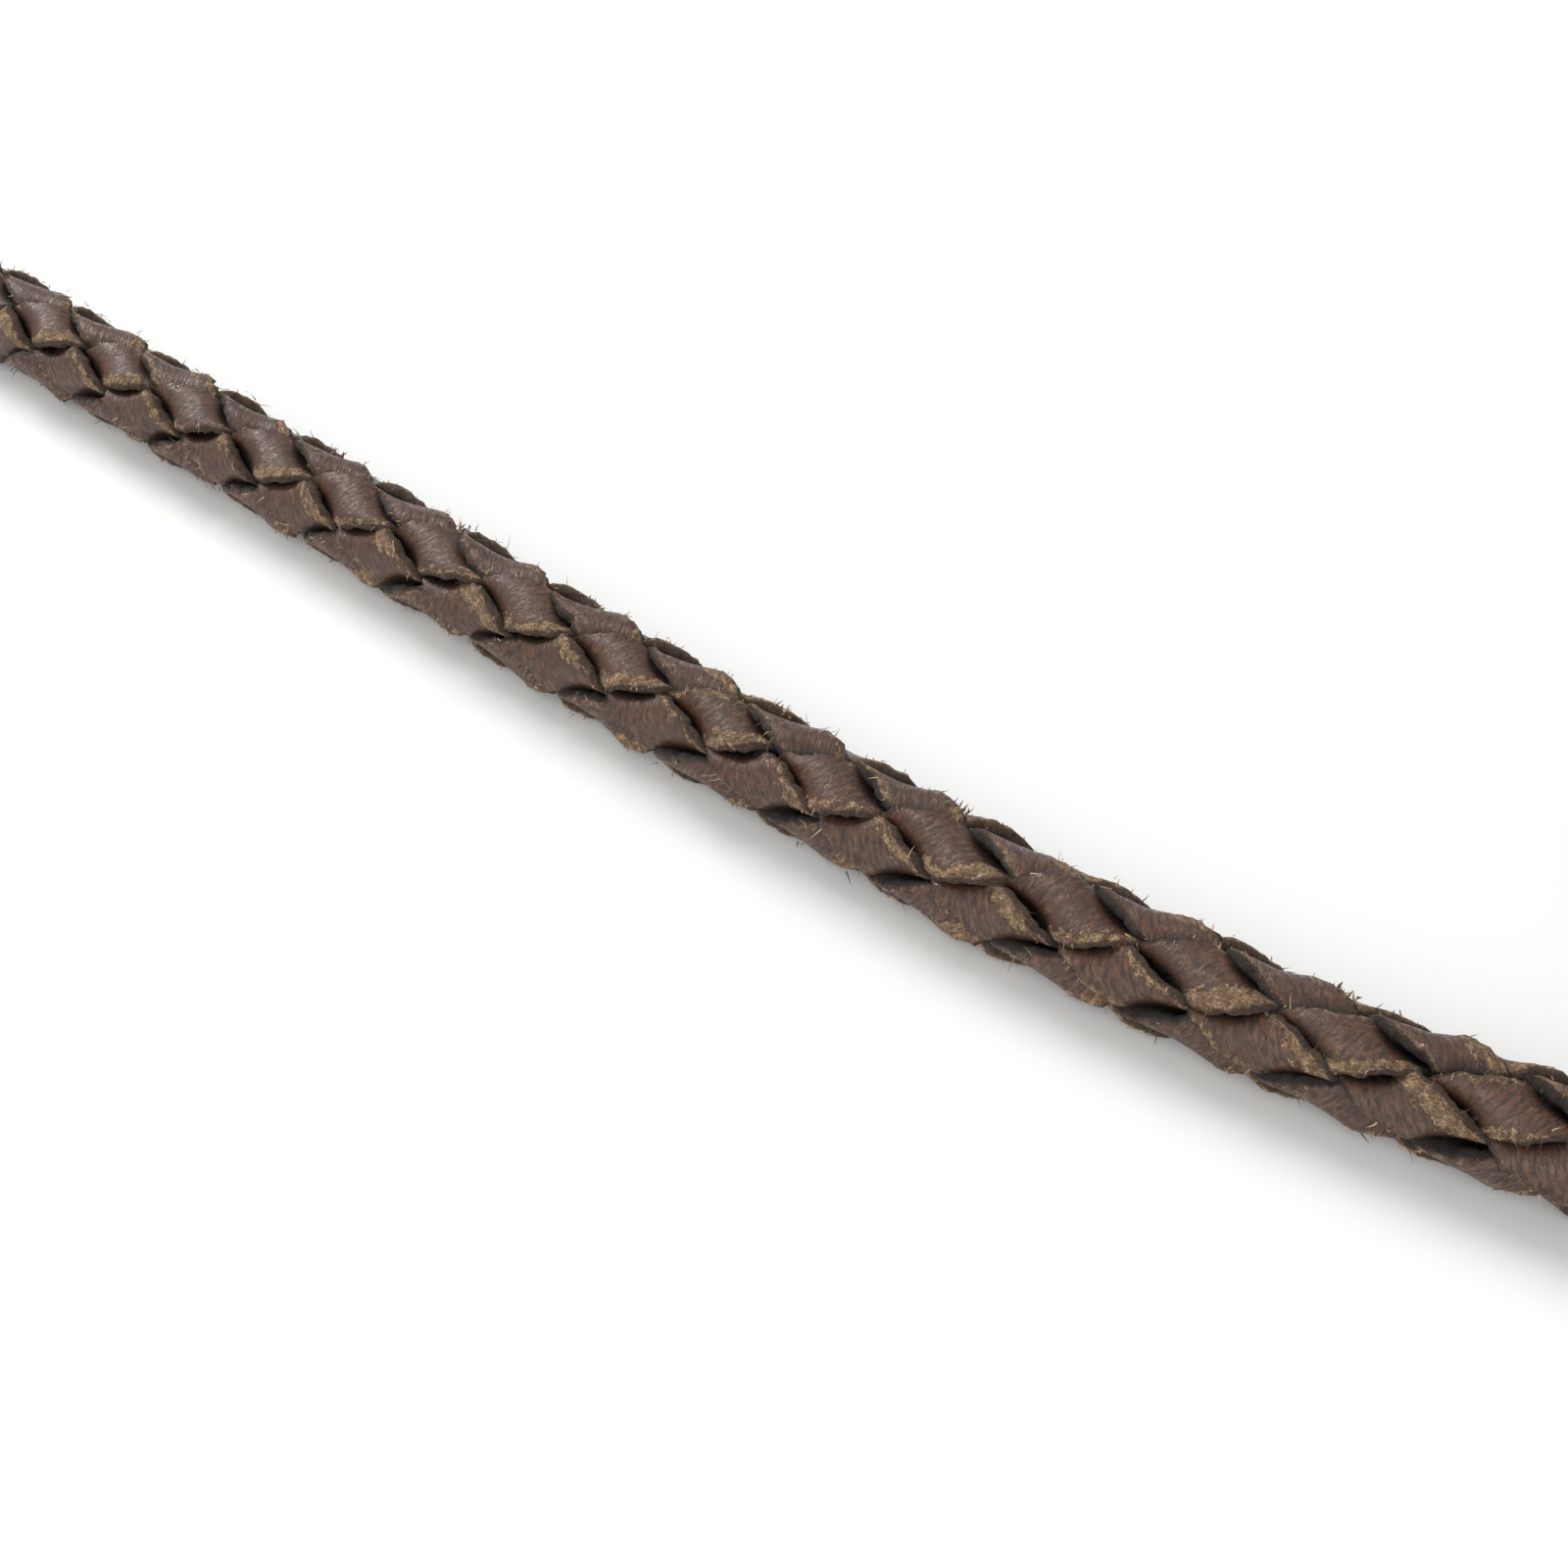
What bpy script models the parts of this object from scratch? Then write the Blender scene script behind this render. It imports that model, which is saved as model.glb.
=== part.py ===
"""Eyeglass retainer strap: a round-braided leather cord with an adjustable rubber temple loop on each end.

Units are metres, +Z up. The strap lies on the plane z = 0, and the origin is at the bottom centre of the
box around its two end fittings. Each end fitting is drawn along its own +X, from the mouth of its end cap
outwards, and is then turned and moved to its place.
"""

import math

import bmesh
import bpy
from mathutils import Matrix, Vector
from mathutils.geometry import interpolate_bezier

# ---------------------------------------------------------------- driving dimensions
MM = 0.001

CORD_DIAMETER = 6.0 * MM  # over the eight braided laces
FIT_GAP = 0.3 * MM  # between the cord and what it meets

CAP_WALL = 0.5 * MM
CAP_DEPTH = 9.0 * MM  # of the socket that the cord is glued into
CAP_END_WALL = 1.5 * MM
CAP_LIP = 0.35 * MM  # how far the rolled lip at the mouth stands out
CAP_LIP_LENGTH = 1.4 * MM

EYE_THICKNESS = 1.2 * MM
EYE_HOLE_RADIUS = 1.1 * MM
EYE_WALL = 0.55 * MM  # metal around the hole
EYE_REACH = 1.9 * MM  # from the cap's end wall to the middle of the hole

RING_WIRE_RADIUS = 0.5 * MM
RING_RADIUS = 2.6 * MM  # to the middle of the wire
RING_SPLIT_DEG = 6.0  # the cut where the ring opens

CRIMP_LENGTH = 6.0 * MM
CRIMP_WALL = 0.55 * MM
CRIMP_BORE_DEPTH = 4.6 * MM
CRIMP_EDGE = 0.45 * MM  # its rounded long edges
CRIMP_EYE_REACH = 2.1 * MM

RUBBER_RADIUS = 1.0 * MM
RUBBER_GAP = 0.15 * MM  # around each leg in the crimp and in the slider
LEG_OFFSET = 1.5 * MM  # from the fitting's centre line to each leg
LEG_STRAIGHT = 10.0 * MM  # straight legs past the crimp, along which the slider runs
LOOP_FLARE = 5.0 * MM
LOOP_STRAIGHT = 3.8 * MM
LOOP_RADIUS = 4.2 * MM  # to the middle of the rubber

SLIDER_LENGTH = 4.0 * MM
SLIDER_WALL = 0.5 * MM
SLIDER_START_GAP = 0.5 * MM  # from the crimp to the slider at rest

ENDS_SPAN_X = 251.4 * MM  # overall box around the two end fittings, as the strap is laid out
LEFT_AXIS_Y = 2.15 * MM

COIL_CENTRE = Vector((90.5 * MM, -64.15 * MM, 0))
COIL_OUTER_RADIUS = 33.1 * MM  # to the middle of the outer turn
COIL_TURN_GAP = 0.2 * MM  # between its two turns
TAIL_RADIUS = 30.0 * MM  # where the last part turn lies on top of the coil
TAIL_LEAVES_X = 119.9 * MM  # where it leaves the coil for the right cap

# ---------------------------------------------------------------- values that follow from them
CORD_RADIUS = CORD_DIAMETER / 2
CAP_BORE_RADIUS = CORD_RADIUS + FIT_GAP
CAP_RADIUS = CAP_BORE_RADIUS + CAP_WALL
CAP_LENGTH = CAP_DEPTH + CAP_END_WALL
CAP_AXIS_Z = CAP_RADIUS + CAP_LIP
EYE_RADIUS = EYE_HOLE_RADIUS + EYE_WALL
CAP_EYE_X = CAP_LENGTH + EYE_REACH

RUBBER_BORE_RADIUS = RUBBER_RADIUS + RUBBER_GAP
CRIMP_HALF_HEIGHT = RUBBER_BORE_RADIUS + CRIMP_WALL
CRIMP_HALF_WIDTH = LEG_OFFSET + CRIMP_HALF_HEIGHT
LEG_Z = max(CRIMP_HALF_HEIGHT, EYE_RADIUS)

RING_DROP = CAP_AXIS_Z - LEG_Z
RING_TILT = math.asin(RING_DROP / (2 * RING_RADIUS))
CRIMP_EYE_X = CAP_EYE_X + 2 * RING_RADIUS * math.cos(RING_TILT)
CRIMP_X = CRIMP_EYE_X + CRIMP_EYE_REACH
CRIMP_END_X = CRIMP_X + CRIMP_LENGTH
FLARE_X = CRIMP_END_X + LEG_STRAIGHT
LOOP_CENTRE_X = FLARE_X + LOOP_FLARE + LOOP_STRAIGHT
FITTING_LENGTH = LOOP_CENTRE_X + LOOP_RADIUS + RUBBER_RADIUS
SLIDER_X = CRIMP_END_X + SLIDER_START_GAP

LEFT_MOUTH = Vector((FITTING_LENGTH - ENDS_SPAN_X / 2, LEFT_AXIS_Y, 0))
RIGHT_MOUTH = Vector((ENDS_SPAN_X / 2 - LOOP_RADIUS - RUBBER_RADIUS, -FITTING_LENGTH / 2, 0))

COIL_TURN_STEP = CORD_DIAMETER + COIL_TURN_GAP
COIL_INNER_RADIUS = COIL_OUTER_RADIUS - COIL_TURN_STEP
TAIL_Z = CORD_RADIUS + math.sqrt((CORD_DIAMETER + FIT_GAP) ** 2 - (COIL_TURN_STEP / 2) ** 2)
OVER_TURN_Z = 3 * CORD_RADIUS + FIT_GAP
LEAVING_Z = (TAIL_Z + OVER_TURN_Z) / 2
ROUTE_SPACING = 2.3 * CORD_DIAMETER


# ---------------------------------------------------------------- materials
def material(name, colour, roughness, metallic):
    made = bpy.data.materials.new(name)
    made.use_nodes = True
    shader = made.node_tree.nodes["Principled BSDF"]
    shader.inputs["Base Color"].default_value = (*colour, 1)
    shader.inputs["Roughness"].default_value = roughness
    shader.inputs["Metallic"].default_value = metallic
    return made


# ---------------------------------------------------------------- shape helpers
def finish(name, mesh_data, look, smooth_deg=40):
    """Stores a bmesh as a named object, shaded smooth away from its sharp edges."""
    bmesh.ops.recalc_face_normals(mesh_data, faces=mesh_data.faces)
    mesh = bpy.data.meshes.new(name)
    mesh_data.to_mesh(mesh)
    mesh_data.free()
    mesh.shade_smooth()
    mesh.set_sharp_from_angle(angle=math.radians(smooth_deg))
    obj = bpy.data.objects.new(name, mesh)
    obj.data.materials.append(look)
    bpy.context.scene.collection.objects.link(obj)
    return obj


def bridge(mesh_data, first, second):
    """Quads between two closed rings of the same length."""
    count = len(first)
    for i in range(count):
        j = (i + 1) % count
        mesh_data.faces.new((first[i], first[j], second[j], second[i]))


def turned(profile, segments, axis_x=True, centre=Vector((0, 0, 0)), closed=False):
    """A profile of (along, radius) points, turned round X or Z. If open, its ends are on the axis."""
    made = bmesh.new()
    rings = []
    for along, radius in profile:
        ring = []
        for k in range(1 if radius == 0 else segments):
            angle = 2 * math.pi * k / segments
            across = (radius * math.cos(angle), radius * math.sin(angle))
            place = (along, *across) if axis_x else (*across, along)
            ring.append(made.verts.new(Vector(place) + centre))
        rings.append(ring)
    pairs = list(zip(rings, rings[1:] + rings[:1])) if closed else list(zip(rings, rings[1:]))
    for first, second in pairs:
        for k in range(segments):
            nxt = (k + 1) % segments
            if len(first) == 1:
                made.faces.new((first[0], second[nxt], second[k]))
            elif len(second) == 1:
                made.faces.new((first[k], first[nxt], second[0]))
            else:
                made.faces.new((first[k], first[nxt], second[nxt], second[k]))
    return made


def plate_with_hole(neck, centre, points=24):
    """An eye in the XZ plane: round around its hole, and straight-sided back to its neck."""
    made = bmesh.new()
    rings = {}
    for side in (-1, 1):
        for hole in (True, False):
            ring = []
            for k in range(points):
                angle = 2 * math.pi * (k + 0.5) / points
                c, s = math.cos(angle), math.sin(angle)
                reach = EYE_HOLE_RADIUS
                if not hole:
                    reach = EYE_RADIUS
                    if c < 0:
                        reach = min(EYE_RADIUS / max(abs(s), 1e-6), neck / abs(c))
                place = centre + Vector((reach * c, side * EYE_THICKNESS / 2, reach * s))
                ring.append(made.verts.new(place))
            rings[side, hole] = ring
    bridge(made, rings[-1, True], rings[-1, False])
    bridge(made, rings[1, True], rings[1, False])
    bridge(made, rings[-1, True], rings[1, True])
    bridge(made, rings[-1, False], rings[1, False])
    return made


def rod(name, points, radius, look, sides_step=2):
    """A round rod along a smooth list of points, as a curve with filled ends."""
    curve = bpy.data.curves.new(name, "CURVE")
    curve.dimensions = "3D"
    curve.bevel_depth = radius
    curve.bevel_resolution = sides_step
    curve.use_fill_caps = True
    spline = curve.splines.new("POLY")
    spline.points.add(len(points) - 1)
    for target, place in zip(spline.points, points):
        target.co = (*place, 1)
    obj = bpy.data.objects.new(name, curve)
    obj.data.materials.append(look)
    bpy.context.scene.collection.objects.link(obj)
    return obj


def boolean(obj, other, operation):
    modifier = obj.modifiers.new(operation.lower(), "BOOLEAN")
    modifier.operation = operation
    modifier.object = other
    other.hide_render = True
    other.display_type = "WIRE"


def smooth_step(value):
    value = min(max(value, 0.0), 1.0)
    return value * value * (3 - 2 * value)


def smooth_route(points, spacing):
    """Evenly spaced places on the smooth curve through a cord's own points."""
    places = [Vector(p) for p in points]
    fine = []
    for i in range(len(places) - 1):
        before = places[i - 1] if i else places[i]
        after = places[min(i + 2, len(places) - 1)]
        first_handle = places[i] + (places[i + 1] - before) / 6
        second_handle = places[i + 1] - (after - places[i]) / 6
        fine += interpolate_bezier(places[i], first_handle, second_handle, places[i + 1], 24)[:-1]
    fine.append(places[-1])
    steps = [(b - a).length for a, b in zip(fine, fine[1:])]
    count = max(2, round(sum(steps) / spacing))
    made, walked, k = [fine[0]], 0.0, 0
    for n in range(1, count):
        target = sum(steps) * n / count
        while walked + steps[k] < target:
            walked += steps[k]
            k += 1
        made.append(fine[k].lerp(fine[k + 1], (target - walked) / steps[k]))
    return made + [fine[-1]]


# ---------------------------------------------------------------- the pieces of one end
def end_cap(side, look):
    """A turned metal cup over the end of the braid, with an eye on its closed end."""
    lip, dome = CAP_RADIUS + CAP_LIP, CAP_END_WALL * 0.8
    profile = [(CAP_DEPTH, 0), (CAP_DEPTH, CAP_BORE_RADIUS), (0.3 * MM, CAP_BORE_RADIUS)]
    profile += [(0, CAP_BORE_RADIUS + 0.2 * MM), (0, lip - 0.25 * MM), (0.25 * MM, lip)]
    profile += [(CAP_LIP_LENGTH - 0.25 * MM, lip), (CAP_LIP_LENGTH, CAP_RADIUS)]
    profile += [(CAP_LENGTH - dome, CAP_RADIUS)]
    for k in range(1, 5):
        angle = math.radians(20 * k)
        along = CAP_LENGTH - dome + dome * math.sin(angle)
        profile.append((along, CAP_RADIUS - dome + dome * math.cos(angle)))
    profile.append((CAP_LENGTH, 0))
    centre = Vector((0, 0, CAP_AXIS_Z))
    cup = finish(f"end_cap_{side}", turned(profile, 32, centre=centre), look)
    eye_centre = Vector((CAP_EYE_X, 0, CAP_AXIS_Z))
    eye = finish(f"eye_on_cap_{side}", plate_with_hole(EYE_REACH + CAP_END_WALL / 2, eye_centre), look)
    boolean(cup, eye, "UNION")
    return cup, eye


def jump_ring(side, look):
    """A split ring through both eyes, tilted down to the crimp. Its origin is in the cap's eye."""
    open_half = math.radians(RING_SPLIT_DEG / 2)
    points = []
    for k in range(29):
        angle = math.pi / 2 + open_half + (2 * math.pi - 2 * open_half) * k / 28
        across = RING_RADIUS * math.sin(angle)
        along = RING_RADIUS + RING_RADIUS * math.cos(angle)
        points.append(Vector((along, across, 0)))
    ring = rod(f"jump_ring_{side}", points, RING_WIRE_RADIUS, look)
    ring.location = (CAP_EYE_X, 0, CAP_AXIS_Z)
    ring.rotation_euler = (0, RING_TILT, 0)
    return ring


def loop_crimp(side, look):
    """A flat-bottomed sleeve pressed on the two rubber legs, with an eye for the ring."""
    made = bmesh.new()
    middle = Vector((CRIMP_X + CRIMP_LENGTH / 2, 0, LEG_Z))
    size = Vector((CRIMP_LENGTH, 2 * CRIMP_HALF_WIDTH, 2 * CRIMP_HALF_HEIGHT))
    bmesh.ops.create_cube(made, size=1, matrix=Matrix.Translation(middle) @ Matrix.Diagonal((*size, 1)))
    long_edges = [e for e in made.edges if abs((e.verts[0].co - e.verts[1].co).x) > size.x / 2]
    bmesh.ops.bevel(made, geom=long_edges, offset=CRIMP_EDGE, segments=3, profile=0.5, affect="EDGES")
    body = finish(f"loop_crimp_{side}", made, look, 30)
    eye_centre = Vector((CRIMP_EYE_X, 0, LEG_Z))
    plate = plate_with_hole(CRIMP_EYE_REACH + CRIMP_WALL, eye_centre)
    bmesh.ops.rotate(plate, cent=eye_centre, matrix=Matrix.Rotation(math.pi, 3, "Z"), verts=plate.verts)
    eye = finish(f"eye_on_crimp_{side}", plate, look)
    boolean(body, eye, "UNION")
    helpers = [eye]
    start = CRIMP_END_X - CRIMP_BORE_DEPTH
    for number, offset in enumerate((-LEG_OFFSET, LEG_OFFSET)):
        profile = [(start, 0), (start, RUBBER_BORE_RADIUS)]
        profile += [(CRIMP_END_X + 1 * MM, RUBBER_BORE_RADIUS), (CRIMP_END_X + 1 * MM, 0)]
        drill = turned(profile, 16, centre=Vector((0, offset, LEG_Z)))
        bore = finish(f"leg_bore_{number}_{side}", drill, look)
        boolean(body, bore, "DIFFERENCE")
        helpers.append(bore)
    return body, helpers


def temple_loop(side, look):
    """One length of round rubber: two straight legs that flare into a loop and droop to the table."""

    def droop(x):
        share = smooth_step((x - FLARE_X) / (LOOP_CENTRE_X - FLARE_X))
        return LEG_Z + (RUBBER_RADIUS - LEG_Z) * share

    leg = []
    start = CRIMP_END_X - CRIMP_BORE_DEPTH + FIT_GAP
    for x in (start, CRIMP_END_X, FLARE_X - LEG_STRAIGHT / 2):
        leg.append(Vector((x, LEG_OFFSET, LEG_Z)))
    for k in range(9):
        x = FLARE_X + LOOP_FLARE * k / 8
        y = LEG_OFFSET + (LOOP_RADIUS - LEG_OFFSET) * smooth_step(k / 8)
        leg.append(Vector((x, y, droop(x))))
    leg.append(Vector((FLARE_X + LOOP_FLARE + LOOP_STRAIGHT / 2, LOOP_RADIUS, 0)))
    leg[-1].z = droop(leg[-1].x)
    bow = []
    for k in range(15):
        angle = math.pi / 2 - math.pi * k / 14
        x = LOOP_CENTRE_X + LOOP_RADIUS * math.cos(angle)
        bow.append(Vector((x, LOOP_RADIUS * math.sin(angle), RUBBER_RADIUS)))
    back = [Vector((p.x, -p.y, p.z)) for p in reversed(leg)]
    return rod(f"temple_loop_{side}", leg + bow + back, RUBBER_RADIUS, look)


def stadium(half_width, half_height, points=8):
    """A ring of (y, z) places with round ends."""
    places = []
    for sign in (1, -1):
        for k in range(points + 1):
            angle = sign * math.pi / 2 - math.pi * k / points
            y = sign * (half_width - half_height) + half_height * math.cos(angle)
            places.append((y, half_height * math.sin(angle)))
    return places


def slider(side, look):
    """An oval sleeve around both legs: pushed towards the loop, it tightens on the temple."""
    made = bmesh.new()
    inner = stadium(LEG_OFFSET + RUBBER_BORE_RADIUS, RUBBER_BORE_RADIUS)
    round_off = 0.2 * MM
    half_height = RUBBER_BORE_RADIUS + SLIDER_WALL
    outer = stadium(LEG_OFFSET + half_height, half_height)
    small = stadium(LEG_OFFSET + half_height - round_off, half_height - round_off)
    sections = [(0, inner), (0, small), (round_off, outer), (SLIDER_LENGTH - round_off, outer)]
    sections += [(SLIDER_LENGTH, small), (SLIDER_LENGTH, inner)]
    rings = [[made.verts.new((x, y, z)) for y, z in ring] for x, ring in sections]
    for first, second in zip(rings, rings[1:] + rings[:1]):
        bridge(made, first, second)
    sleeve = finish(f"slider_{side}", made, look)
    sleeve.location = (SLIDER_X, 0, LEG_Z)
    return sleeve


def end_fitting(side, mouth, turn_deg, metal, rubber):
    """All the pieces of one end, under an empty that puts them in place."""
    anchor = bpy.data.objects.new(f"place_of_{side}_end", None)
    bpy.context.scene.collection.objects.link(anchor)
    pieces = [*end_cap(side, metal), jump_ring(side, metal)]
    body, helpers = loop_crimp(side, metal)
    pieces += [body, *helpers, temple_loop(side, rubber), slider(side, metal)]
    for piece in pieces:
        piece.parent = anchor
    anchor.location = mouth
    anchor.rotation_euler = (0, 0, math.radians(turn_deg))


# ---------------------------------------------------------------- the cord
def cord_run(look):
    """The open stretch, from the bottom of the left cap's socket to where it joins the coil."""
    inside = LEFT_MOUTH + Vector((FIT_GAP - CAP_DEPTH, 0, CAP_AXIS_Z))
    route = [inside, inside.lerp(LEFT_MOUTH + Vector((0, 0, CAP_AXIS_Z)), 0.5)]
    route.append(LEFT_MOUTH + Vector((0, 0, CAP_AXIS_Z)))
    floor = [(-71.0, 2.0), (-64.6, 1.2), (-58.2, -1.2), (-52.0, -5.2), (-44.0, -11.4), (-36.0, -17.9)]
    floor += [(-28.3, -24.2), (-14.3, -35.7), (-1.9, -46.1), (9.2, -55.1), (19.2, -62.9)]
    floor += [(28.4, -69.3), (37.0, -74.7), (45.1, -79.1), (51.2, -82.2), (56.2, -84.65)]
    lifts = {0: 0.7 * MM, 1: 0.25 * MM, 2: 0.05 * MM}
    for k, (x, y) in enumerate(floor):
        route.append(Vector((x * MM, y * MM, CORD_RADIUS + lifts.get(k, 0))))
    return rod("cord_run", smooth_route(route, ROUTE_SPACING), CORD_RADIUS, look)


def cord_coil(look):
    """The put-away length: two turns side by side, drawn as one solid of their outer shape."""
    profile = []
    for radius, from_deg, to_deg in ((COIL_OUTER_RADIUS, 0, 130), (COIL_INNER_RADIUS, 50, 180)):
        for k in range(6):
            angle = math.radians(from_deg + (to_deg - from_deg) * k / 5)
            across = radius + CORD_RADIUS * math.cos(angle)
            profile.append((CORD_RADIUS + CORD_RADIUS * math.sin(angle), across))
    for radius, from_deg, to_deg in ((COIL_INNER_RADIUS, 220, 270), (COIL_OUTER_RADIUS, 270, 320)):
        for k in range(2):
            angle = math.radians(from_deg + (to_deg - from_deg) * k)
            across = radius + CORD_RADIUS * math.cos(angle)
            profile.append((CORD_RADIUS + CORD_RADIUS * math.sin(angle), across))
    made = turned(profile, 48, axis_x=False, centre=COIL_CENTRE, closed=True)
    return finish("cord_coil", made, look, 60)


def cord_tail(look):
    """The last part turn, on top of the coil, then out over it and down to the right cap."""
    route = []
    crossing = [(-145, 1.2, OVER_TURN_Z), (-125, 1.0, OVER_TURN_Z), (-105, 0.3, LEAVING_Z)]
    for degrees, outwards, height in crossing:
        angle = math.radians(degrees)
        radius = TAIL_RADIUS + outwards * MM
        place = Vector((radius * math.cos(angle), radius * math.sin(angle), height))
        route.append(COIL_CENTRE + place)
    for degrees in (-85, -65, -45, -25, -8):
        angle = math.radians(degrees)
        place = Vector((TAIL_RADIUS * math.cos(angle), TAIL_RADIUS * math.sin(angle), TAIL_Z))
        route.append(COIL_CENTRE + place)
    drop = OVER_TURN_Z - CAP_AXIS_Z
    mouth = RIGHT_MOUTH + Vector((0, 0, CAP_AXIS_Z))
    leaving = [(0.0, -59.5, LEAVING_Z), (0.4, -54.0, OVER_TURN_Z)]
    leaving += [(0.8, -48.0, OVER_TURN_Z), (1.0, -42.0, OVER_TURN_Z - 0.2 * drop)]
    leaving += [(1.0, -36.0, OVER_TURN_Z - 0.6 * drop), (1.0, -30.0, OVER_TURN_Z - 0.93 * drop)]
    for share, y, z in leaving:
        x = TAIL_LEAVES_X + (mouth.x - TAIL_LEAVES_X) * share
        route.append(Vector((x, y * MM, z)))
    inside = mouth + Vector((0, CAP_DEPTH - FIT_GAP, 0))
    route += [mouth, mouth.lerp(inside, 0.5), inside]
    return rod("cord_tail", smooth_route(route, ROUTE_SPACING / 2), CORD_RADIUS, look)


def build():
    for obj in list(bpy.data.objects):
        bpy.data.objects.remove(obj)
    leather = material("braided_leather", (0.085, 0.042, 0.03), 0.55, 0.0)
    metal = material("antique_metal", (0.2, 0.17, 0.14), 0.38, 1.0)
    rubber = material("black_rubber", (0.012, 0.012, 0.013), 0.6, 0.0)
    end_fitting("left", LEFT_MOUTH, 180, metal, rubber)
    end_fitting("right", RIGHT_MOUTH, 90, metal, rubber)
    cord_run(leather)
    cord_coil(leather)
    cord_tail(leather)


build()
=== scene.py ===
"""Looks of the eyeglass retainer strap: a worn, round-braided leather cord and its two end fittings."""

import math

import bmesh
import bpy
import numpy as np
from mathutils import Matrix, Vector


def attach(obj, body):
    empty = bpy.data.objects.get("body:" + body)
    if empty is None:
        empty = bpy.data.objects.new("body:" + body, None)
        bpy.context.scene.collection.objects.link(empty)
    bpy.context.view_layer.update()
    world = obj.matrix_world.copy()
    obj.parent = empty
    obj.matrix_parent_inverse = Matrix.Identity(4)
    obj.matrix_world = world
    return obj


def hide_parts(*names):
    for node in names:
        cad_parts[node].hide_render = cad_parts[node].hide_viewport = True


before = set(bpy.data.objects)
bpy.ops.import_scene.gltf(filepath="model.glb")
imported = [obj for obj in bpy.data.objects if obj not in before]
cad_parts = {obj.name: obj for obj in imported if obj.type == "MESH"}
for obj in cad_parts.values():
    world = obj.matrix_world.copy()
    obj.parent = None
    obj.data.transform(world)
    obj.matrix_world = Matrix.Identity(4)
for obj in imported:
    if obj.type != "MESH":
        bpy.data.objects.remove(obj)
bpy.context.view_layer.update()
MM = 0.001

# ---------------------------------------------------------------- the cord's route, in millimetres
LEFT_MOUTH = np.array([-76.61, 2.15, 4.15])  # where the cord leaves each end cap
RIGHT_MOUTH = np.array([120.5, -24.545, 4.15])
SOCKET_DEPTH = 8.7  # how far it goes into the caps
COIL_CENTRE = np.array([90.5, -64.15])
COIL_START_DEG, COIL_END_DEG, COIL_STEP_DEG = -115.5, 562, 12
OUTER_TURN, INNER_TURN, OVER_TURN, TAIL_TURN = 33.1, 26.9, 31.2, 30.0  # radii
FLOOR_Z = 3.0  # the cord's middle where it lies on the table
OVER_Z = 9.3  # where it crosses itself
TAIL_Z = 8.484  # where it lies in the groove between the two turns
TAIL_X = 119.9  # where the last part turn leaves the coil


def smooth(value):
    value = np.clip(value, 0.0, 1.0)
    return value * value * (3 - 2 * value)


def around_coil(degrees, radius, height):
    angle = math.radians(degrees)
    x, y = COIL_CENTRE + radius * np.array([math.cos(angle), math.sin(angle)])
    return [x, y, height]


def route_points():
    points = [LEFT_MOUTH + [-SOCKET_DEPTH, 0, 0], LEFT_MOUTH + [-SOCKET_DEPTH / 2, 0, 0], LEFT_MOUTH]
    floor = [(-71.0, 2.0), (-64.6, 1.2), (-58.2, -1.2), (-52.0, -5.2), (-44.0, -11.4), (-36.0, -17.9)]
    floor += [(-28.3, -24.2), (-14.3, -35.7), (-1.9, -46.1), (9.2, -55.1), (19.2, -62.9)]
    floor += [(28.4, -69.3), (37.0, -74.7), (45.1, -79.1), (51.2, -82.2), (57.2, -85.1), (66.7, -89.55)]
    lifts = {0: 0.7, 1: 0.25, 2: 0.05}
    points += [[x, y, FLOOR_Z + lifts.get(k, 0)] for k, (x, y) in enumerate(floor)]
    # turn 1 outside, turn 2 inside it, then up and over them both
    degrees = COIL_START_DEG
    while degrees < COIL_END_DEG:
        inwards = smooth((degrees - 190) / 45)
        climb = smooth((degrees - 510) / 50)
        outwards = smooth((degrees - 535) / 40)
        radius = OUTER_TURN + (INNER_TURN - OUTER_TURN) * inwards + (OVER_TURN - INNER_TURN) * outwards
        points.append(around_coil(degrees, radius, FLOOR_Z + (OVER_Z - FLOOR_Z) * climb))
        degrees += COIL_STEP_DEG
    points += [around_coil(-145, OVER_TURN, OVER_Z), around_coil(-125, 31.0, OVER_Z)]
    points.append(around_coil(-105, 30.3, (OVER_Z + TAIL_Z) / 2))
    points += [around_coil(d, TAIL_TURN, TAIL_Z) for d in (-85, -65, -45, -25, -8)]
    # off the coil and down to the right cap
    drop = OVER_Z - RIGHT_MOUTH[2]
    leaving = [(0.0, -59.5, (OVER_Z + TAIL_Z) / 2), (0.4, -54.0, OVER_Z), (0.8, -48.0, OVER_Z)]
    leaving += [(1.0, -42.0, OVER_Z - 0.2 * drop), (1.0, -36.0, OVER_Z - 0.6 * drop)]
    leaving += [(1.0, -30.0, OVER_Z - 0.93 * drop)]
    points += [[TAIL_X + (RIGHT_MOUTH[0] - TAIL_X) * share, y, z] for share, y, z in leaving]
    points += [RIGHT_MOUTH, RIGHT_MOUTH + [0, SOCKET_DEPTH / 2, 0], RIGHT_MOUTH + [0, SOCKET_DEPTH, 0]]
    return np.array([list(p) for p in points], float)


def fine_curve(points, steps=40):
    """The smooth curve through the route's points, and the distance along it."""
    padded = np.vstack([points[0], points, points[-1]])
    made = []
    for i in range(len(points) - 1):
        before, a, b, after = padded[i : i + 4]
        t = np.linspace(0, 1, steps, endpoint=False)[:, None]
        first, second = a + (b - before) / 6, b - (after - a) / 6
        made.append((1 - t) ** 3 * a + 3 * (1 - t) ** 2 * t * first + 3 * (1 - t) * t**2 * second + t**3 * b)
    curve = np.vstack(made + [points[-1:]])
    along = np.concatenate([[0], np.cumsum(np.linalg.norm(np.diff(curve, axis=0), axis=1))])
    return curve, along


CURVE, ALONG = fine_curve(route_points())
CORD_LENGTH = ALONG[-1]
HEADING_REACH = 0.6  # how far to each side of a point its heading is taken


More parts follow.
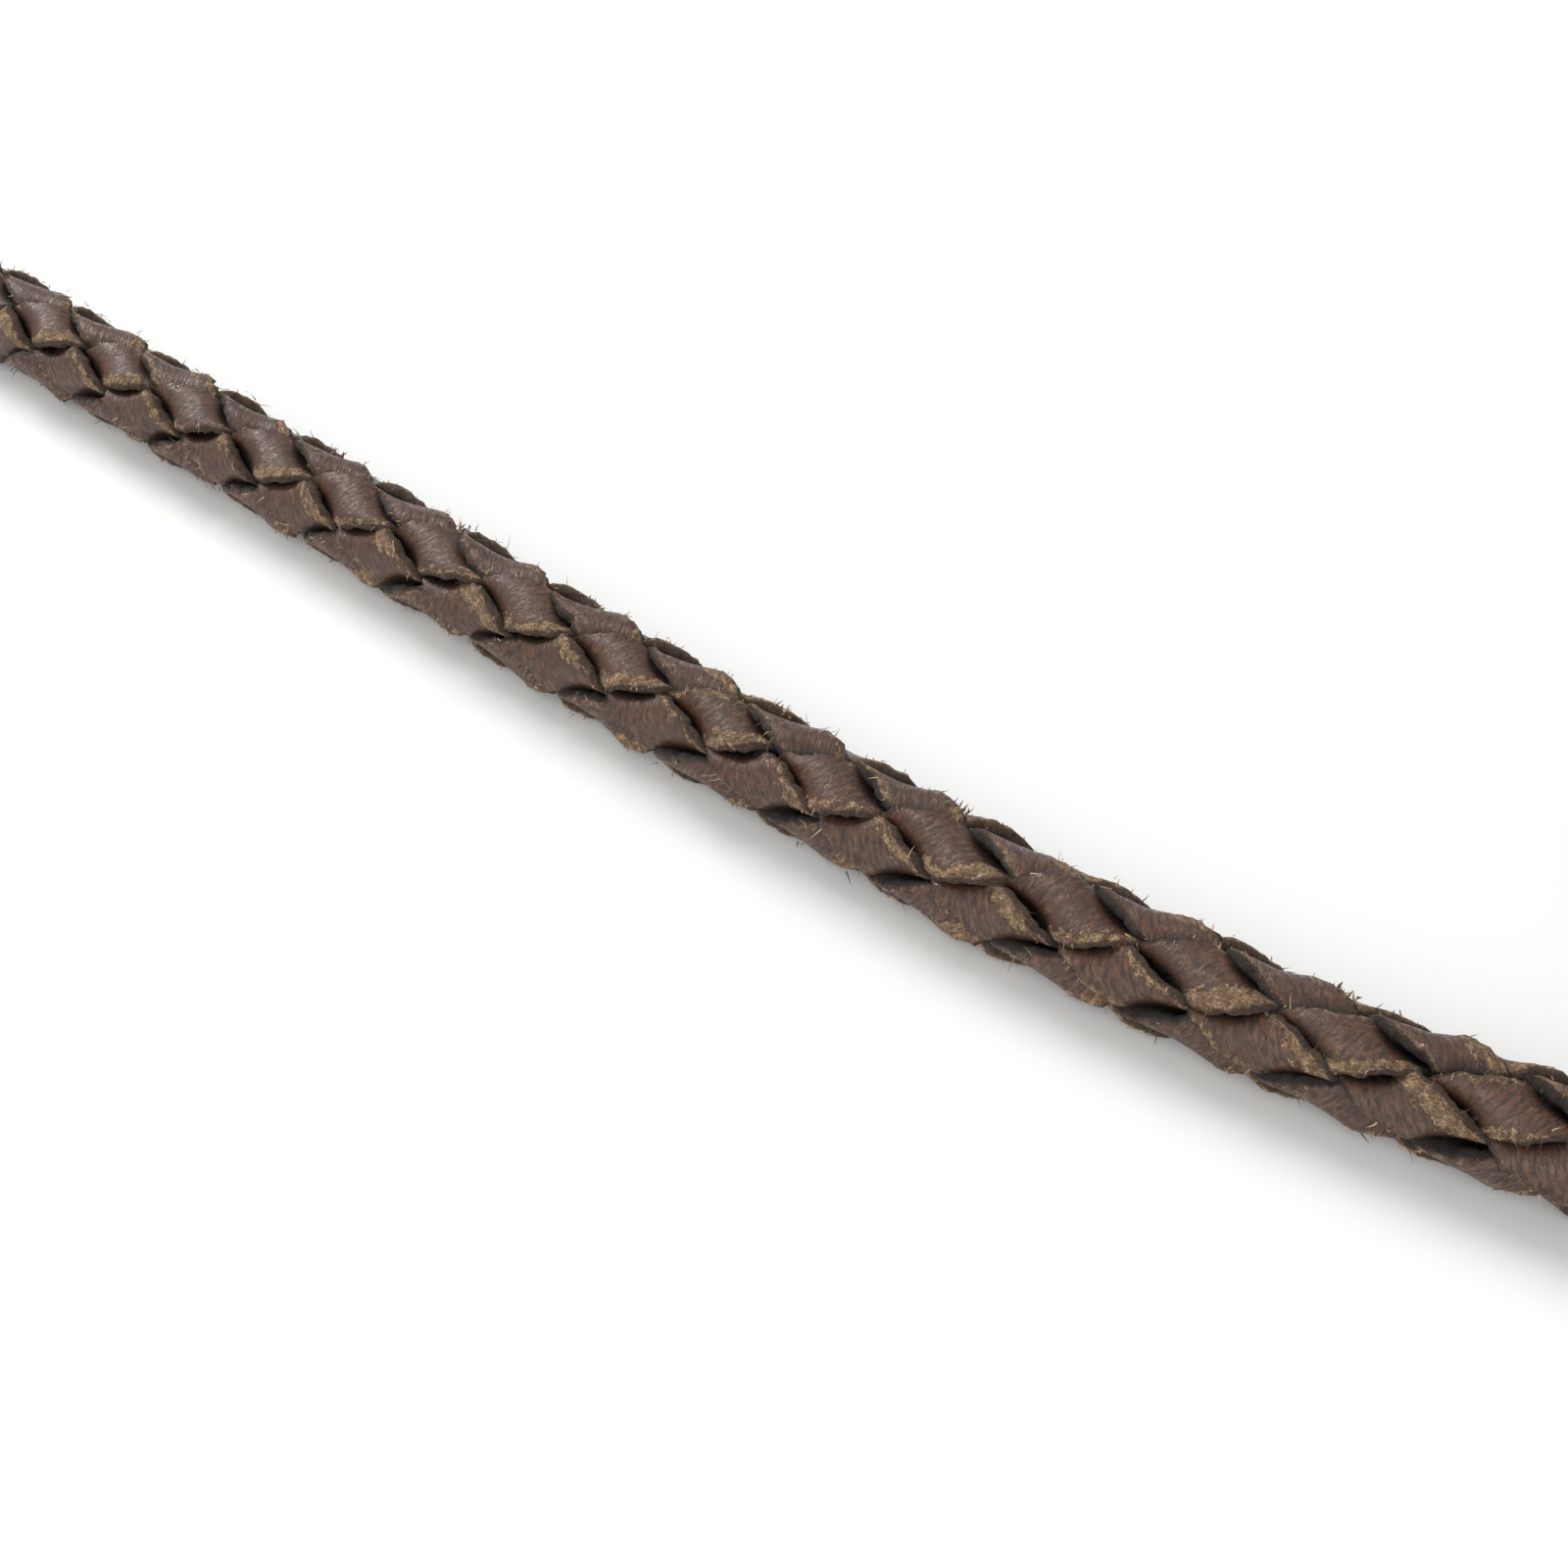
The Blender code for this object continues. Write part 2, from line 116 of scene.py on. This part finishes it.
def unit(v):
    return v / np.linalg.norm(v, axis=-1, keepdims=True)


def on_curve(s):
    s = np.clip(s, 0, CORD_LENGTH)
    return np.stack([np.interp(s, ALONG, CURVE[:, k]) for k in range(3)], -1)


def place_on_cord(s):
    """Centre, heading, the upward direction across the cord, and the sideways one, at distances s."""
    s = np.clip(s, 0, CORD_LENGTH)
    heading = unit(on_curve(s + HEADING_REACH) - on_curve(s - HEADING_REACH))
    up = unit(np.array([0, 0, 1.0]) - heading * heading[..., 2:3])
    side = np.cross(heading, up)
    return on_curve(s), heading, up, side


# ---------------------------------------------------------------- the braid
PAIRS = 4  # of one rising and one falling lace
BRAID_LEAD = 29.1  # one lace's full turn
BRAID_START = 52.4  # slides the pattern along the cord
COLUMN_DEG = 21.0  # the middle of a column of rising laces, from the top of the cord
LACE_WIDTH = 3.45
LACE_THICKNESS = 1.1
LACE_RADIUS = 2.6  # the cylinder on which a lace's slope is reckoned
MIDDLE_RADIUS = 1.68  # a lace's middle, halfway between on top and underneath
WAVE = 0.66  # how far it goes out and in from there
SHARPNESS = 1.4
DIP = 0.2  # how early a lace's middle dips under the next one
EDGE_LIFT = 0.48  # how long its edges stay on top
FLATNESS = 0.095  # how far a lace's edges stand off the cylinder
FLOAT_EASE = 0.07  # a lace runs straighter where it lies on top
LACE_SLOPE = math.atan(2 * math.pi * LACE_RADIUS / BRAID_LEAD)
# how uneven the braid is: smooth wobbles along each lace, then roughness from point to point
ANGLE_WOBBLE, WIDTH_WOBBLE, LIFT_WOBBLE, TILT_WOBBLE = 0.06, 0.08, 0.09, 0.085
EDGE_WOBBLE, FACE_WOBBLE = 0.08, 0.02
EDGE_ROUGHNESS, CUT_ROUGHNESS = 0.05, 0.03
SEEN_FROM, SEEN_TO = 40.0, 165.0  # the stretch of cord that gets the finest mesh
FINE_STEP, COARSE_STEP = 0.25, 1.1
# across the lace: (share of the half width, share of the half thickness), its top first
SECTION = [(-0.97, 0.5), (-0.84, 0.92), (-0.45, 1.0), (0.0, 1.0), (0.42, 1.0), (0.77, 0.94), (0.95, 0.4)]
SECTION += [(1.0, -0.3), (0.78, -1.0), (-0.78, -1.0), (-1.0, -0.3)]
RIM_PLACES = (1, 5)  # where in the section the top meets the cut edges


def new_object(name, mesh):
    obj = bpy.data.objects.new(name, mesh)
    bpy.context.scene.collection.objects.link(obj)
    return obj


def store(mesh, name, values):
    """Keeps a number or a vector for each vertex, which a material reads by its name."""
    vectors = values.ndim == 2
    attribute = mesh.attributes.new(name, "FLOAT_VECTOR" if vectors else "FLOAT", "POINT")
    attribute.data.foreach_set("vector" if vectors else "value", values.astype(np.float32).ravel())


def wobble(x, seed, period):
    """A smooth random value, mostly from -1 to 1, along x."""
    rng = np.random.default_rng(seed)
    total = np.zeros_like(x)
    for _ in range(4):
        total += np.sin(2 * np.pi * x / (period * rng.uniform(0.6, 1.7)) + rng.uniform(0, 2 * np.pi))
    return total / 2.4


def wave(phase, across):
    """From 1, on top, to -1, underneath. The edges stay up longer, so they stand proud of the next lace."""
    height = np.cos(phase) - DIP + EDGE_LIFT * across**2
    return np.tanh(SHARPNESS * height) / math.tanh(SHARPNESS)


def lace_lines(number, rising, s, seen, rng):
    """One lace as a line of points for each place in its section, and the lines that are its rims.

    A line is its points, the same places laid out flat, how far across the lace it is, and its radii.
    """
    seed = 10 * number + (1 if rising else 2)
    way, half_turn = (-1, 0) if rising else (1, np.pi)
    column = math.radians(COLUMN_DEG)
    swing = 4 * way * 2 * np.pi * (s - BRAID_START) / BRAID_LEAD
    angle = column + number * np.pi / 2 + swing / 4
    angle -= way * FLOAT_EASE * np.sin(swing * way + half_turn)
    angle += ANGLE_WOBBLE * wobble(s, seed, 9.0)
    half_width = LACE_WIDTH / 2 * (1 + WIDTH_WOBBLE * wobble(s, seed + 7, 11.0))
    lift = LIFT_WOBBLE * wobble(s, seed + 3, 6.0)
    tilt = TILT_WOBBLE * wobble(s, seed + 5, 8.0)
    lines, rims = [], []
    for k, (a, b) in enumerate(SECTION):
        ragged = EDGE_WOBBLE * wobble(s, seed * 31 + (0 if a < 0 else 1), 1.7)
        ragged += EDGE_ROUGHNESS * seen * rng.standard_normal(len(s))
        x = half_width * a + ragged * smooth((abs(a) - 0.6) / 0.35)
        s_here = s + x * math.sin(LACE_SLOPE)
        angle_here = angle - way * x * math.cos(LACE_SLOPE) / LACE_RADIUS
        phase = 2 * (angle_here - column + way * 2 * np.pi * (s_here - BRAID_START) / BRAID_LEAD)
        phase += number * np.pi + half_turn
        thick = LACE_THICKNESS / 2 * (0.93 + 0.07 * np.cos(phase))
        radius = MIDDLE_RADIUS + WAVE * wave(phase, a) + thick * b + FLATNESS * x**2
        radius += lift + tilt * x + FACE_WOBBLE * wobble(s, seed * 17 + k, 1.3)
        radius += CUT_ROUGHNESS * seen * rng.standard_normal(len(s)) * smooth((abs(a) - 0.7) / 0.06)
        centre, heading, up, side = place_on_cord(s_here)
        outward = np.cos(angle_here)[:, None] * up + np.sin(angle_here)[:, None] * side
        points = centre + radius[:, None] * outward
        flat = np.stack([s / math.cos(LACE_SLOPE) + 40 * seed, x, np.full_like(s, b)], -1)
        lines.append((points, flat, np.full_like(s, a), radius))
        if k in RIM_PLACES:
            around = np.cross(outward, heading)
            edgeward = math.sin(LACE_SLOPE) * heading + way * math.cos(LACE_SLOPE) * around
            rims.append((points, math.copysign(1, a) * edgeward, outward, radius))
    return lines, rims


def braid_mesh():
    before = np.arange(0.0, SEEN_FROM, COARSE_STEP)
    fine = np.arange(SEEN_FROM, SEEN_TO, FINE_STEP)
    after = np.arange(SEEN_TO, CORD_LENGTH, COARSE_STEP)
    s = np.concatenate([before, fine, after, [CORD_LENGTH]])
    seen = smooth((s - SEEN_FROM) / 2) * smooth((SEEN_TO - s) / 2)
    rng = np.random.default_rng(4)
    lines, rims = [], []
    for number in range(PAIRS):
        for rising in (True, False):
            lace, edges = lace_lines(number, rising, s, seen, rng)
            lines += lace
            rims += edges
    points, flat, across, height = (np.concatenate(part) for part in zip(*lines))
    count, length = len(SECTION), len(s)
    quads, ends = [], []
    for first in range(0, 2 * PAIRS * count * length, count * length):
        starts = [first + k * length for k in range(count)]
        for k in range(count):
            a = starts[k] + np.arange(length - 1)
            b = starts[(k + 1) % count] + np.arange(length - 1)
            quads.append(np.stack([a, b, b + 1, a + 1], -1))
        ends.append(starts[::-1])
        ends.append([v + length - 1 for v in starts])
    mesh = bpy.data.meshes.new("leather_braid")
    mesh.from_pydata((points * MM).tolist(), [], np.concatenate(quads).tolist() + ends)
    mesh.shade_smooth()
    store(mesh, "lace", flat)
    store(mesh, "across", across)
    store(mesh, "height", height)
    return new_object("leather_braid", mesh), rims, seen


# ---------------------------------------------------------------- the loose fibres
FIBRE_SHARE_SEEN, FIBRE_SHARE_UNSEEN = 0.75, 0.3  # of the points on a rim
RAISED = 2.35  # they grow only where a rim is further out than this
LONGEST_FIBRE = 0.8
LOWEST_TIP = 0.1  # they stay above the table
# tufts where a lace is torn: (distance along the cord, degrees from its top)
TORN_AT = [(76.5, -50), (99.0, -48), (112.0, -45), (145.5, -42), (88.0, -42), (124.0, -50)]
TUFT_THREADS = 22
TUFT_ROOT = 2.65  # from the cord's middle
THREAD_SHARES = (0.0, 0.35, 0.7)  # where along a thread its three-sided rings are, before its tip


def fibre_mesh(rims, seen):
    """Loose leather fibres on the laces' raw rims, as thin tapered threads, and a few torn tufts."""
    rng = np.random.default_rng(11)
    verts, faces, tones = [], [], []

    def thread(root, direction, bend, length, radius, flat=1.0):
        side = unit(np.cross(direction, rng.standard_normal(3)))
        other = np.cross(direction, side)
        first = len(verts)
        for share in THREAD_SHARES:
            middle = root + direction * length * share + bend * length * share**2
            for n in range(3):
                angle = 2 * np.pi * n / 3
                wide = radius * (1 - 0.75 * share)
                verts.append(middle + wide * (math.cos(angle) * side + flat * math.sin(angle) * other))
        verts.append(root + direction * length + bend * length)
        tones.extend([rng.uniform()] * (len(verts) - first))
        for k in range(2):
            for n in range(3):
                a, b = first + 3 * k + n, first + 3 * k + (n + 1) % 3
                faces.append((a, b, b + 3, a + 3))
        for n in range(3):
            faces.append((first + 6 + n, first + 6 + (n + 1) % 3, first + 9))

    for points, edgeward, outward, height in rims:
        share = np.where(seen > 0.5, FIBRE_SHARE_SEEN, FIBRE_SHARE_UNSEEN)
        chosen = rng.uniform(size=len(height)) < share * smooth((height - RAISED) / 0.3)
        for i in np.nonzero(chosen)[0]:
            heading = edgeward[i] * rng.uniform(0.1, 1.0) + outward[i] * rng.uniform(-0.1, 0.8)
            heading = unit(heading + 0.45 * rng.standard_normal(3))
            length = 0.15 + 0.16 * rng.exponential()
            root = points[i] - 0.06 * outward[i] + 0.1 * rng.standard_normal(3)
            bend = 0.3 * rng.standard_normal(3)
            if root[2] + min(0.0, heading[2] + bend[2]) * length > LOWEST_TIP:
                thread(root, heading, bend, min(length, LONGEST_FIBRE), rng.uniform(0.02, 0.055))
    for s, degrees in TORN_AT:
        centre, along, up, side = (v[0] for v in place_on_cord(np.array([s])))
        out = math.cos(math.radians(degrees)) * up + math.sin(math.radians(degrees)) * side
        for _ in range(TUFT_THREADS):
            root = centre + TUFT_ROOT * out + 0.45 * along * rng.standard_normal()
            root += 0.15 * rng.standard_normal(3)
            lean = unit(out + 0.35 * along + 0.4 * rng.standard_normal(3))
            bend = 0.35 * rng.standard_normal(3)
            length = rng.uniform(0.12, 0.5)
            thread(root, lean, bend, length, rng.uniform(0.06, 0.15), 0.4)
    mesh = bpy.data.meshes.new("loose_fibres")
    mesh.from_pydata((np.array(verts) * MM).tolist(), [], faces)
    mesh.shade_smooth()
    store(mesh, "tone", np.array(tones))
    return new_object("loose_fibres", mesh)


# ---------------------------------------------------------------- materials
# how deep the relief of each surface is, in metres
GRAIN_RELIEF, NAP_RELIEF, METAL_RELIEF, RUBBER_RELIEF = 0.00008, 0.00022, 0.00004, 0.00003


class Graph:
    """Short calls for building one material's nodes."""

    def __init__(self, name):
        self.material = bpy.data.materials.new(name)
        self.material.use_nodes = True
        self.tree = self.material.node_tree
        self.shader = self.tree.nodes["Principled BSDF"]

    def node(self, kind, **settings):
        made = self.tree.nodes.new(kind)
        for key, value in settings.items():
            setattr(made, key, value)
        return made

    def link(self, source, target):
        self.tree.links.new(source, target)

    def fill(self, socket, value):
        if isinstance(value, bpy.types.NodeSocket):
            self.link(value, socket)
        else:
            socket.default_value = value

    def math(self, operation, a, b=0.0, c=None, clamp=False):
        made = self.node("ShaderNodeMath", operation=operation, use_clamp=clamp)
        self.fill(made.inputs[0], a)
        self.fill(made.inputs[1], b)
        if c is not None:
            self.fill(made.inputs[2], c)
        return made.outputs[0]

    def noise(self, vector, scale, detail=3.0, roughness=0.55, distortion=0.0):
        made = self.node("ShaderNodeTexNoise")
        self.fill(made.inputs["Vector"], vector)
        made.inputs["Scale"].default_value = scale
        made.inputs["Detail"].default_value = detail
        made.inputs["Roughness"].default_value = roughness
        made.inputs["Distortion"].default_value = distortion
        return made.outputs["Fac"]

    def steps(self, value, low, high, low_to=0.0, high_to=1.0):
        made = self.node("ShaderNodeMapRange", interpolation_type="SMOOTHSTEP")
        self.fill(made.inputs["Value"], value)
        made.inputs["From Min"].default_value = low
        made.inputs["From Max"].default_value = high
        made.inputs["To Min"].default_value = low_to
        made.inputs["To Max"].default_value = high_to
        return made.outputs["Result"]

    def mix(self, share, a, b, blend="MIX"):
        made = self.node("ShaderNodeMix", data_type="RGBA", blend_type=blend)
        self.fill(made.inputs[0], share)
        self.fill(made.inputs[6], (*a, 1) if isinstance(a, tuple) else a)
        self.fill(made.inputs[7], (*b, 1) if isinstance(b, tuple) else b)
        return made.outputs[2]

    def lean(self, vector, per_unit, degrees=0.0):
        """The vector turned about Z, then scaled to so many features per unit along each axis."""
        made = self.node("ShaderNodeMapping", vector_type="TEXTURE")
        self.fill(made.inputs["Vector"], vector)
        made.inputs["Scale"].default_value = [1 / v for v in per_unit]
        made.inputs["Rotation"].default_value = (0, 0, math.radians(degrees))
        return made.outputs[0]

    def bump(self, height, strength, distance, normal=None):
        made = self.node("ShaderNodeBump")
        made.inputs["Strength"].default_value = strength
        made.inputs["Distance"].default_value = distance
        self.fill(made.inputs["Height"], height)
        if normal is not None:
            self.link(normal, made.inputs["Normal"])
        return made.outputs[0]

    def attribute(self, name, output="Fac"):
        return self.node("ShaderNodeAttribute", attribute_name=name).outputs[output]

    def set(self, **values):
        """Fills the shader's sockets, whose names have a _ for each space here."""
        for name, value in values.items():
            self.fill(self.shader.inputs[name.replace("_", " ")], value)


def leather_material():
    g = Graph("worn_brown_leather")
    # in millimetres along and across the lace, and from -1, its underside, to 1, its top
    lace = g.attribute("lace", "Vector")
    across = g.attribute("across")
    parts = g.node("ShaderNodeSeparateXYZ")
    g.link(lace, parts.inputs[0])
    level = parts.outputs[2]
    # the grain side's fine wrinkles: short streaks that lean across the lace
    streaks = g.noise(g.lean(lace, (1.5, 5.2, 1.0), -33), 1.0, 4.0, 0.64, 0.4)
    fine = g.noise(g.lean(lace, (6.0, 13.0, 1.0), -26), 1.0, 3.0, 0.6, 0.2)
    patch = g.noise(g.lean(lace, (0.3, 0.5, 1.0)), 1.0, 3.0, 0.5)
    mottle = g.noise(g.lean(lace, (1.8, 2.8, 1.0), -20), 1.0, 4.0, 0.66)
    fibres = g.noise(g.lean(lace, (5.5, 10.0, 3.0), 20), 1.0, 5.0, 0.8, 0.15)
    # how worn: the rims of each lace, ragged by noise, and most on its leading edge
    reach = g.noise(g.lean(lace, (0.16, 0.2, 1.0)), 1.0, 2.0, 0.5)
    reach = g.steps(reach, 0.36, 0.64, -0.33, 0.27)
    ragged = g.math("ADD", g.math("MULTIPLY_ADD", mottle, 1.3, -0.65), reach)
    leading = g.steps(g.math("ADD", across, ragged), 0.46, 0.6)
    trailing = g.steps(g.math("SUBTRACT", ragged, across), 0.85, 1.2, 0.0, 0.6)
    rim = g.math("MAXIMUM", leading, trailing)
    cut = g.steps(g.math("MULTIPLY_ADD", mottle, 0.4, level), 1.05, 0.8)
    # painted shade: picks out one cut side of each lace, below its top, to be darkened
    painted_shade_side = g.math("MULTIPLY", g.steps(across, -0.9, -0.97), g.steps(level, 0.86, 0.6))
    # the dyed top, then its scuffed rims, the raw cut with painted shade in it, and one cut side painted
    # nearly black as shade
    grain = g.mix(g.steps(streaks, 0.35, 0.65), (0.019, 0.006, 0.003), (0.112, 0.044, 0.022))
    grain = g.mix(g.steps(patch, 0.4, 0.65, 0.0, 0.6), grain, (0.050, 0.017, 0.010))
    grain = g.mix(g.steps(mottle, 0.5, 0.75, 0.0, 0.45), grain, (0.19, 0.108, 0.058))
    scuffed = g.mix(g.steps(fibres, 0.36, 0.64), (0.09, 0.044, 0.019), (0.78, 0.52, 0.30))
    scuffed = g.mix(g.steps(mottle, 0.42, 0.66, 0.7, 0.0), scuffed, (0.085, 0.042, 0.022))
    colour = g.mix(rim, grain, scuffed)
    # the raw cut: its brown fibres are real, its nearly black ground is painted shade on the laces' sides
    # and undersides
    raw = g.mix(g.steps(fibres, 0.35, 0.65), (0.012, 0.008, 0.006), (0.10, 0.058, 0.034))
    colour = g.mix(g.math("MULTIPLY", cut, 0.92), colour, raw)
    # painted shade: that cut side is made nearly black, with only faint fibres
    colour = g.mix(painted_shade_side, colour, g.mix(fibres, (0.008, 0.006, 0.005), (0.040, 0.028, 0.020)))
    # painted shade: the colour darkens steeply, nearly to black, down between the laces where one lace goes
    # under the next, and stays full on the raised tops
    painted_gap_shade = g.steps(g.attribute("height"), 2.08, 2.68, 0.04, 1.0)
    shade = g.node("ShaderNodeCombineColor")
    for socket in shade.inputs[:3]:
        g.link(painted_gap_shade, socket)
    # the painted shade is multiplied into the colour
    colour = g.mix(1.0, colour, shade.outputs[0], "MULTIPLY")
    roughness = g.math("ADD", g.steps(streaks, 0.46, 0.64, 0.52, 0.17), g.math("MULTIPLY", rim, 0.5))
    g.set(Base_Color=colour, Roughness=roughness, Specular_IOR_Level=0.6)
    g.set(Sheen_Weight=0.04, Sheen_Roughness=0.35, Sheen_Tint=(0.9, 0.72, 0.6, 1))
    relief = g.math("ADD", streaks, g.math("MULTIPLY", fine, 0.4))
    nap = g.math("MULTIPLY", fibres, g.math("MAXIMUM", rim, cut))
    g.set(Normal=g.bump(nap, 1.0, NAP_RELIEF, g.bump(relief, 1.0, GRAIN_RELIEF)))
    return g.material


def fibre_material():
    g = Graph("leather_fibres")
    colour = g.mix(g.steps(g.attribute("tone"), 0.2, 0.9), (0.08, 0.046, 0.026), (0.55, 0.38, 0.23))
    g.set(Base_Color=colour, Roughness=0.85)
    return g.material


def metal_material():
    """Darkened brass: nearly black in its recesses, rubbed bright where hands reach it."""
    g = Graph("aged_brass")
    place = g.node("ShaderNodeTexCoord").outputs["Object"]
    cloud = g.noise(place, 420.0, 5.0, 0.6)
    speck = g.noise(place, 2600.0, 3.0, 0.6)
    scratch = g.noise(g.lean(place, (900.0, 9000.0, 2500.0), 24), 1.0, 3.0, 0.6)
    pointed = g.node("ShaderNodeNewGeometry").outputs["Pointiness"]
    edges, patches = g.steps(pointed, 0.5, 0.7, 0.0, 0.4), g.steps(cloud, 0.52, 0.75, 0.0, 0.5)
    rubbed = g.math("ADD", edges, patches, clamp=True)
    colour = g.mix(g.steps(cloud, 0.35, 0.65), (0.10, 0.078, 0.058), (0.27, 0.215, 0.155))
    colour = g.mix(rubbed, colour, (0.50, 0.40, 0.27))
    colour = g.mix(g.steps(speck, 0.58, 0.72, 0.0, 0.7), colour, (0.045, 0.038, 0.03))
    roughness = g.math("ADD", g.steps(cloud, 0.3, 0.7, 0.48, 0.28), g.steps(scratch, 0.55, 0.7, 0.0, 0.16))
    relief = g.math("ADD", speck, scratch)
    g.set(Base_Color=colour, Metallic=1.0, Roughness=roughness, Normal=g.bump(relief, 0.5, METAL_RELIEF))
    return g.material


def rubber_material():
    """Matte black silicone rubber, with a fine moulded grain and a little dust."""
    g = Graph("matte_rubber")
    place = g.node("ShaderNodeTexCoord").outputs["Object"]
    grain = g.noise(place, 5200.0, 3.0, 0.6)
    dust = g.noise(place, 700.0, 5.0, 0.65)
    colour = g.mix(g.steps(dust, 0.5, 0.72), (0.011, 0.011, 0.012), (0.036, 0.034, 0.031))
    roughness = g.steps(dust, 0.35, 0.7, 0.42, 0.66)
    g.set(Base_Color=colour, Roughness=roughness, Normal=g.bump(grain, 0.5, RUBBER_RELIEF))
    return g.material


def floor_material():
    g = Graph("pale_table")
    tone = g.noise(g.node("ShaderNodeTexCoord").outputs["Object"], 14.0, 2.0)
    g.set(Base_Color=g.mix(tone, (0.82, 0.845, 0.85), (0.86, 0.885, 0.89)), Roughness=0.6)
    return g.material


# ---------------------------------------------------------------- the scene
TABLE_REACH = 6.0
WORLD_COLOUR, WORLD_STRENGTH = (1.0, 0.985, 0.955, 1), 0.56
LIGHT_COLOUR = (1.0, 0.985, 0.96)
LIGHTS_AIM = (0.01, -0.05, 0)
# each light's place, size and power
LIGHTS = {
    "key": ((0.4, 0.3, 0.75), 0.5, 1.0),
    "back": ((-0.48, 0.48, 0.5), 0.4, 5.0),
    "front": ((-0.15, -0.65, 0.5), 0.9, 3.8),
}
CAMERA_PLACE, CAMERA_TILT_DEG = (0.0092, -0.13465, 0.0847), 43.9
LENS_MM, SENSOR_MM = 48.8, 36


def use_material(obj, made):
    obj.data.materials.clear()
    obj.data.materials.append(made)


def add_cord():
    braid, rims, seen = braid_mesh()
    use_material(braid, leather_material())
    fibres = fibre_mesh(rims, seen)
    use_material(fibres, fibre_material())
    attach(fibres, "strap")
    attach(braid, "strap")
    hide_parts("cord_run", "cord_coil", "cord_tail")


def rounded(name, body, made):
    """A smooth, round version of a rod that the CAD model has with flat sides."""
    piece = new_object("round_" + name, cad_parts[name].data.copy())
    work = bmesh.new()
    work.from_mesh(piece.data)
    bmesh.ops.remove_doubles(work, verts=work.verts, dist=1e-6)
    bmesh.ops.join_triangles(work, faces=work.faces, angle_face_threshold=0.6, angle_shape_threshold=1.2)
    work.to_mesh(piece.data)
    work.free()
    piece.data.shade_smooth()
    subdivision = piece.modifiers.new("round", "SUBSURF")
    subdivision.levels = 2
    subdivision.render_levels = 2
    use_material(piece, made)
    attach(piece, body)
    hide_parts(name)


def add_fittings():
    metal, rubber = metal_material(), rubber_material()
    for name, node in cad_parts.items():
        if not name.startswith("cord"):
            use_material(node, rubber if "temple_loop" in name else metal)
    for end in ("left", "right"):
        rounded("temple_loop_" + end, "loop_" + end, rubber)
        rounded("jump_ring_" + end, "ring_" + end, metal)


def area_light(name, place, size, power):
    light = bpy.data.lights.new(name, "AREA")
    light.shape = "DISK"
    light.size = size
    light.energy = power
    light.color = LIGHT_COLOUR
    obj = new_object(name, light)
    obj.location = place
    obj.rotation_euler = (Vector(LIGHTS_AIM) - Vector(place)).to_track_quat("-Z", "Y").to_euler()


def stage():
    mesh = bpy.data.meshes.new("table_top")
    corners = [(-1, -1), (1, -1), (1, 1), (-1, 1)]
    mesh.from_pydata([(TABLE_REACH * x, TABLE_REACH * y, 0) for x, y in corners], [], [(0, 1, 2, 3)])
    floor = new_object("table_top", mesh)
    use_material(floor, floor_material())
    world = bpy.data.worlds.new("studio")
    world.use_nodes = True
    background = world.node_tree.nodes["Background"]
    background.inputs["Color"].default_value = WORLD_COLOUR
    background.inputs["Strength"].default_value = WORLD_STRENGTH
    bpy.context.scene.world = world
    for name, (place, size, power) in LIGHTS.items():
        area_light(name, place, size, power)


def camera():
    data = bpy.data.cameras.new("camera")
    data.sensor_width = SENSOR_MM
    data.lens = LENS_MM
    data.clip_start = 0.005
    obj = new_object("camera", data)
    obj.location = CAMERA_PLACE
    obj.rotation_euler = (math.radians(CAMERA_TILT_DEG), 0, 0)
    bpy.context.scene.camera = obj
    bpy.context.scene.view_settings.view_transform = "Standard"


add_cord()
add_fittings()
stage()
camera()
